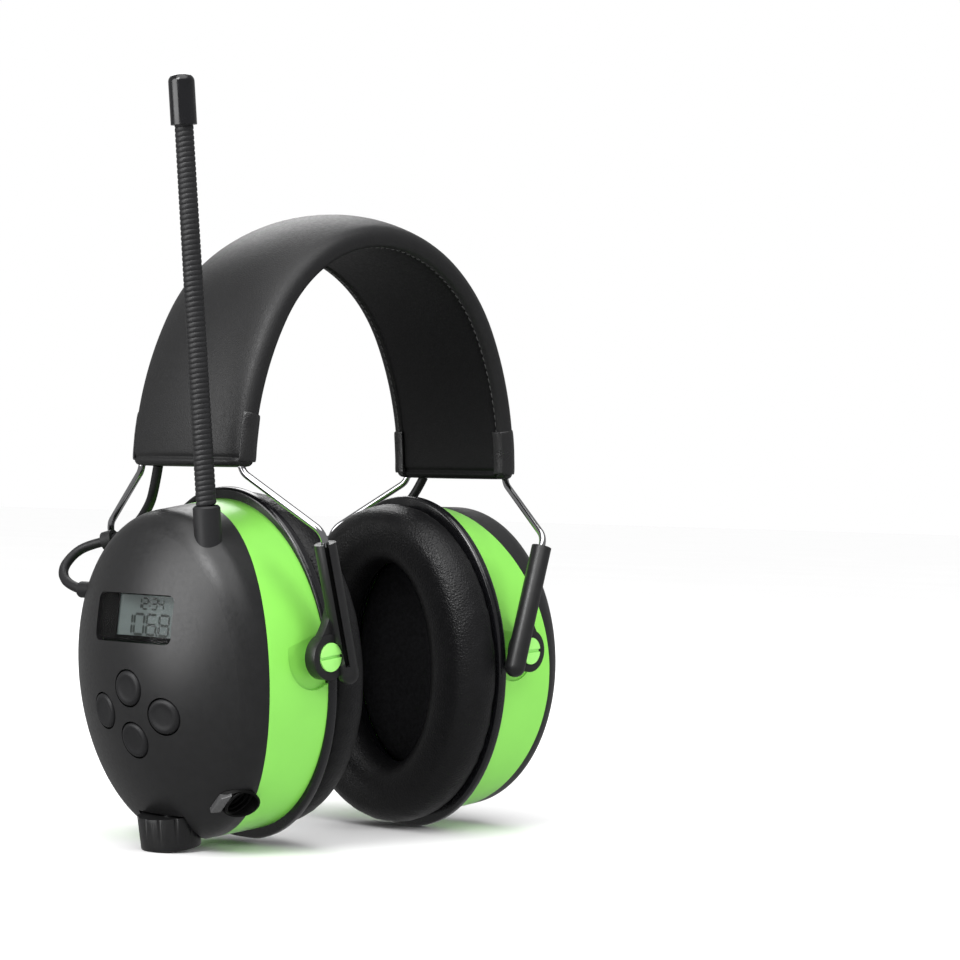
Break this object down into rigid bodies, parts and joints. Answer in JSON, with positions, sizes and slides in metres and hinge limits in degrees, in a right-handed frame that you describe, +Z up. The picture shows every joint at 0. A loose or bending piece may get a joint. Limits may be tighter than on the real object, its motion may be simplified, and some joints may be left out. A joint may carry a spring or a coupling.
{
  "type": "earmuff hearing protector",
  "caption": "Over-head ear muff with a radio: padded headband on spring wires, sliding arms, tilting oval cups, display, buttons, volume knob, whip antenna and audio socket.",
  "frame": {"origin": "on the table, midway between the two cups' pivot axes", "axes": "+Z up, +X from the radio cup to the battery cup, -Y the front"},
  "size_m": [0.1749, 0.1043, 0.2293],
  "materials": {
    "leatherette": "fine grain, satin",
    "foam": "open-cell foam",
    "spring_steel": "polished",
    "cord_rubber": "smooth, satin",
    "black_plastic": "satin",
    "green_plastic": "glossy",
    "cushion_skin": "grained foil, satin",
    "speaker_frame": "satin",
    "screw_steel": "plain",
    "clear_window": "clear",
    "display_glass": "grey-green",
    "board": "solder mask",
    "switch_black": "plain",
    "button_rubber": "satin",
    "antenna_rubber": "ribbed, satin",
    "cell_wrap": "printed wrap, unmarked",
    "contact_nickel": "plated"
  },
  "bodies": {
    "headband": {"headband_cover": "leatherette", "headband_foam": "foam", "spring_wire_front": "spring_steel", "spring_wire_rear": "spring_steel", "wire_spreader_left": "black_plastic", "wire_spreader_right": "black_plastic", "cord_upper_left": "cord_rubber", "cord_upper_right": "cord_rubber"},
    "left_yoke": {"arm_left_front": "black_plastic", "arm_left_rear": "black_plastic", "cord_clip_left": "black_plastic", "cord_lower_left": "cord_rubber"},
    "right_yoke": {"arm_right_front": "black_plastic", "arm_right_rear": "black_plastic", "cord_clip_right": "black_plastic", "cord_lower_right": "cord_rubber"},
    "left_cup": {"cup_shell_left": "green_plastic", "radio_cover": "black_plastic", "cushion_flange_left": "black_plastic", "ear_cushion_left": "cushion_skin", "foam_insert_left": "foam", "speaker_left": "speaker_frame", "speaker_ring_left": "black_plastic", "cup_screws_left": "screw_steel", "cord_grommet_left": "cord_rubber", "pivot_pin_left_front": "green_plastic", "pivot_pin_left_rear": "green_plastic", "display_lens": "clear_window", "lcd_panel": "display_glass", "circuit_board": "board", "tact_switches": "switch_black", "button_pad": "button_rubber", "volume_pot": "screw_steel", "aux_jack": "switch_black", "antenna_collar": "antenna_rubber"},
    "right_cup": {"cup_shell_right": "green_plastic", "battery_cover": "black_plastic", "cushion_flange_right": "black_plastic", "ear_cushion_right": "cushion_skin", "foam_insert_right": "foam", "speaker_right": "speaker_frame", "speaker_ring_right": "black_plastic", "cup_screws_right": "screw_steel", "cord_grommet_right": "cord_rubber", "pivot_pin_right_front": "green_plastic", "pivot_pin_right_rear": "green_plastic", "battery_tray": "black_plastic", "battery_cells": "cell_wrap", "battery_contacts": "contact_nickel"},
    "knob": {"volume_knob": "black_plastic", "pot_shaft": "screw_steel"},
    "antenna": {"antenna_rod": "antenna_rubber", "antenna_cap": "antenna_rubber"},
    "door": {"battery_door": "black_plastic"},
    "top_button": {"button_top": "button_rubber"},
    "bottom_button": {"button_bottom": "button_rubber"},
    "front_button": {"button_front": "button_rubber"},
    "rear_button": {"button_rear": "button_rubber"}
  },
  "joints": [
    {"name": "left_slide", "type": "slide", "parent": "headband", "child": "left_yoke", "axis": [0.2874, 0, -0.9578], "range_m": [0, 0.015], "deforming": ["cord_upper_left"]},
    {"name": "right_slide", "type": "slide", "parent": "headband", "child": "right_yoke", "axis": [-0.2874, 0, -0.9578], "range_m": [0, 0.02], "deforming": ["cord_upper_right"]},
    {"name": "left_tilt", "type": "hinge", "parent": "left_yoke", "child": "left_cup", "pos_m": [-0.046, 0, 0.0602], "axis": [0, -1, 0], "range_deg": [-2, 8], "deforming": ["cord_lower_left"]},
    {"name": "right_tilt", "type": "hinge", "parent": "right_yoke", "child": "right_cup", "pos_m": [0.046, 0, 0.0602], "axis": [0, 1, 0], "range_deg": [-9, 9], "deforming": ["cord_lower_right"]},
    {"name": "volume_turn", "type": "hinge", "parent": "left_cup", "child": "knob", "pos_m": [-0.06432, 0, 0.00758], "axis": [0.1219, 0, -0.9925], "range_deg": [0, 280]},
    {"name": "antenna_flex", "type": "hinge", "parent": "left_cup", "child": "antenna", "pos_m": [-0.07138, -0.0194, 0.10282], "axis": [-0.9925, 0, -0.1219], "range_deg": [-15, 15], "stiffness_Nm_per_rad": 0.4},
    {"name": "door_off", "type": "slide", "parent": "right_cup", "child": "door", "axis": [0.9986, 0, 0.0523], "range_m": [0, 0.012]},
    {"name": "top_press", "type": "slide", "parent": "left_cup", "child": "top_button", "axis": [0.9925, 0, 0.1219], "range_m": [0, 0.0008], "stiffness_N_per_m": 500},
    {"name": "bottom_press", "type": "slide", "parent": "left_cup", "child": "bottom_button", "axis": [0.9925, 0, 0.1219], "range_m": [0, 0.0008], "stiffness_N_per_m": 500},
    {"name": "front_press", "type": "slide", "parent": "left_cup", "child": "front_button", "axis": [0.9925, 0, 0.1219], "range_m": [0, 0.0008], "stiffness_N_per_m": 500},
    {"name": "rear_press", "type": "slide", "parent": "left_cup", "child": "rear_button", "axis": [0.9925, 0, 0.1219], "range_m": [0, 0.0008], "stiffness_N_per_m": 500}
  ]
}
